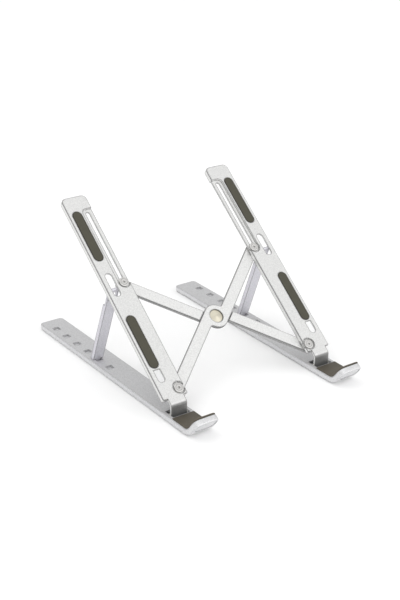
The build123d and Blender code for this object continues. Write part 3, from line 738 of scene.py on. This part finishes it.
class STAND_OT_rivets(bpy.types.Operator):
    """Turn the pivot and slider rivets, with a ring groove and a hexagon socket in each head"""

    bl_idname = "stand.rivets"
    bl_label = "Rivets"

    def execute(self, context):
        sizes = context.scene.stand_rivets
        axes = arm_axes()
        bodies = {
            "pivot_rivet_left": "arm_left",
            "pivot_rivet_right": "arm_right",
            "slider_rivet_left": "link_b",
            "slider_rivet_right": "link_a",
        }
        for node, body in bodies.items():
            piece = self.rivet(f"turned_{node}", node, axes, sizes)
            add_piece(piece, body, "turned_steel", "rivet_steel", node)
        return {"FINISHED"}

    def rivet(self, name, node, axes, sizes):
        """Profile from the socket's floor, out over the grooved head, down the shank and round the tail."""
        shape = RivetShape(node, axes)
        mm, head, top, under = MILLIMETRE, shape.head, shape.top, shape.under
        socket, floor = sizes.socket, top - sizes.socket_depth
        parts = {
            "socket": [[0, floor], [socket, floor], [socket, top - 0.12 * mm]],
            "mouth": [[socket + 0.15 * mm, top]],
            "groove": np.array([[-0.2, 0], [-0.1, -0.16], [0.1, -0.16], [0.2, 0]]) * mm + (sizes.groove, top),
            "rim": arc(90, 0, (head - sizes.rim, top - sizes.rim), sizes.rim, 8),
            "under": [[head, under + 0.05 * mm], [head - 0.05 * mm, under], [shape.shank, under]],
            "tail": [[shape.shank, shape.tail_top], [shape.tail, shape.tail_top], [shape.tail, 0.1 * mm]],
            "foot": [[shape.tail - 0.1 * mm, 0], [0, 0]],
        }
        profile = np.concatenate(list(parts.values()))
        hexagon, recess = np.zeros(len(profile)), np.zeros(len(profile))
        hexagon[1:4] = 1
        # painted shade in the socket, in the ring groove and round the side and underside of the head
        recess[0:3] = recess[5:7] = recess[-9:-6] = 1
        return turned_piece(name, profile, shape.foot, axes, recess, hexagon)


class STAND_OT_centre_rivet(bpy.types.Operator):
    """Turn the large centre rivet, whose face is a very flat cone"""

    bl_idname = "stand.centre_rivet"
    bl_label = "Centre rivet"

    def execute(self, context):
        axes = arm_axes()
        shape = RivetShape("centre_rivet", axes)
        mm, head, rim_top = MILLIMETRE, shape.head, shape.rim_top
        share = np.linspace(0, 1, 25)[:, None]
        fall = shape.top - rim_top + 0.45 * mm
        cone = np.hstack([share * (head - 0.55 * mm), shape.top - share * fall])
        groove = [[head - 0.42 * mm, rim_top - 0.4 * mm], [head - 0.30 * mm, rim_top]]
        rim = arc(90, 0, (head - 0.2 * mm, rim_top - 0.2 * mm), 0.2 * mm, 6)
        under = [[head, shape.under], [shape.shank, shape.under]]
        tail = [[shape.shank, shape.tail_top], [shape.tail, shape.tail_top], [shape.tail, 0.1 * mm]]
        profile = np.concatenate([cone, groove, rim, under, tail, [[shape.tail - 0.1 * mm, 0], [0, 0]]])
        recess = np.zeros(len(profile))
        # painted shade: everything outside the cone is darkened, which paints a dark ring round the face for
        # the shadow in the counterbore
        recess[len(cone):] = 1
        piece = turned_piece("turned_centre_rivet", profile, shape.foot, axes, recess, count=128)
        add_piece(piece, "link_a", "turned_nickel_silver", "centre_steel", "centre_rivet")
        return {"FINISHED"}


class STAND_OT_stage(bpy.types.Operator):
    """Lay the pale floor, hang the soft lights and set up the camera"""

    bl_idname = "stand.stage"
    bl_label = "Stage"

    def execute(self, context):
        stage = context.scene.stand_stage
        self.floor(stage, context.scene.stand_finishes)
        self.world(context.scene)
        self.soft_light("top_softbox", (-0.6, 0.5, 1.6), (0, 0, 0), 1.4, 5.2)
        self.camera(context.scene, stage)
        context.scene.view_settings.view_transform = "Standard"
        return {"FINISHED"}

    def floor(self, stage, finish):
        """A square floor at the height that the feet stand on."""
        half = stage.floor / 2
        side = np.linspace(-half, half, 9)
        x, y = np.meshgrid(side, side)
        mesh_points = np.stack([x, y, np.full_like(x, CAD_BOX[0][2])], axis=-1)
        piece = surface("floor", mesh_points)
        laminate("matt_white_laminate", finish.floor)
        piece.data.materials.append(bpy.data.materials["matt_white_laminate"])

    def world(self, scene):
        """A studio with a white ceiling, a bright wall in front of the stand and light grey walls elsewhere.

        The level depends on the height of the direction and, below the ceiling, on how far it points to
        the front.
        """
        world = bpy.data.worlds.new("studio")
        world.use_nodes = True
        tree = world.node_tree
        tree.nodes.clear()
        direction = add_node(tree, "ShaderNodeTexCoord").outputs["Generated"]
        split = add_node(tree, "ShaderNodeSeparateXYZ", inputs={"Vector": direction})
        wall = add_node(
            tree,
            "ShaderNodeMapRange",
            {"interpolation_type": "SMOOTHSTEP"},
            {"Value": split.outputs["Y"], "From Min": 0.0, "From Max": -0.75, "To Min": 0.66, "To Max": 2.3},
        )
        ceiling = add_node(
            tree,
            "ShaderNodeMapRange",
            {"interpolation_type": "SMOOTHSTEP"},
            {"Value": split.outputs["Z"], "From Min": 0.40, "From Max": 0.75},
        )
        level = add_node(
            tree,
            "ShaderNodeMix",
            inputs={0: ceiling.outputs["Result"], 2: wall.outputs["Result"], 3: 1.0},
        )
        white = {"Color": (1, 1, 1, 1), "Strength": level.outputs[0]}
        glow = add_node(tree, "ShaderNodeBackground", inputs=white)
        add_node(tree, "ShaderNodeOutputWorld", inputs={"Surface": glow.outputs["Background"]})
        scene.world = world

    def soft_light(self, name, place, aim, size, power):
        """A square area light at a place, turned to a point."""
        light = bpy.data.lights.new(name, "AREA")
        light.shape = "SQUARE"
        light.size = size
        light.energy = power
        lamp = bpy.data.objects.new(name, light)
        lamp.location = place
        lamp.rotation_euler = (Vector(aim) - Vector(place)).to_track_quat("-Z", "Y").to_euler()
        bpy.context.scene.collection.objects.link(lamp)

    def camera(self, scene, stage):
        """The camera backs away from its target along the view's azimuth and elevation, then rolls."""
        az, el, roll = stage.azimuth, stage.elevation, stage.roll
        back = np.array([sin(az) * cos(el), -cos(az) * cos(el), sin(el)])
        right = np.array([cos(az), sin(az), 0.0])
        up = np.cross(back, right)
        rolled_right = right * cos(roll) + up * sin(roll)
        rolled_up = up * cos(roll) - right * sin(roll)
        place = np.array(stage.target) + back * stage.distance
        matrix = np.eye(4)
        matrix[:3, 0], matrix[:3, 1], matrix[:3, 2], matrix[:3, 3] = rolled_right, rolled_up, back, place
        lens = bpy.data.cameras.new("camera")
        lens.lens = stage.lens
        camera = bpy.data.objects.new("camera", lens)
        camera.matrix_world = Matrix(matrix.tolist())
        scene.collection.objects.link(camera)
        scene.camera = camera


class STAND_PT_panel(bpy.types.Panel):
    """Lists the stand's pieces and settings"""

    bl_idname = "STAND_PT_panel"
    bl_label = "Laptop Stand"
    bl_space_type = "VIEW_3D"
    bl_region_type = "UI"
    bl_category = "Stand"

    def draw(self, context):
        for operator in OPERATORS:
            self.layout.operator(operator.bl_idname)
        for name in SETTINGS:
            box = self.layout.box()
            group = getattr(context.scene, name)
            for field in group.__annotations__:
                box.prop(group, field)


SETTINGS = {
    "stand_finishes": StandFinishes,
    "stand_pads": PadSizes,
    "stand_hooks": HookSizes,
    "stand_rivets": RivetSizes,
    "stand_feet": FootSizes,
    "stand_stage": StageSizes,
}
OPERATORS = (
    STAND_OT_materials,
    STAND_OT_arm_pads,
    STAND_OT_hook_liners,
    STAND_OT_feet,
    STAND_OT_rivets,
    STAND_OT_centre_rivet,
    STAND_OT_stage,
)


def register():
    """Register the classes and hang their settings on the scene."""
    for name, group in SETTINGS.items():
        bpy.utils.register_class(group)
        setattr(bpy.types.Scene, name, PointerProperty(type=group))
    for cls in (*OPERATORS, STAND_PT_panel):
        bpy.utils.register_class(cls)


def unregister():
    """Take the classes and settings away again."""
    for cls in (STAND_PT_panel, *reversed(OPERATORS)):
        bpy.utils.unregister_class(cls)
    for name, group in SETTINGS.items():
        delattr(bpy.types.Scene, name)
        bpy.utils.unregister_class(group)


def main():
    """Make every piece."""
    register()
    for operator in OPERATORS:
        group, name = operator.bl_idname.split(".")
        getattr(getattr(bpy.ops, group), name)()


if __name__ == "__main__":
    main()
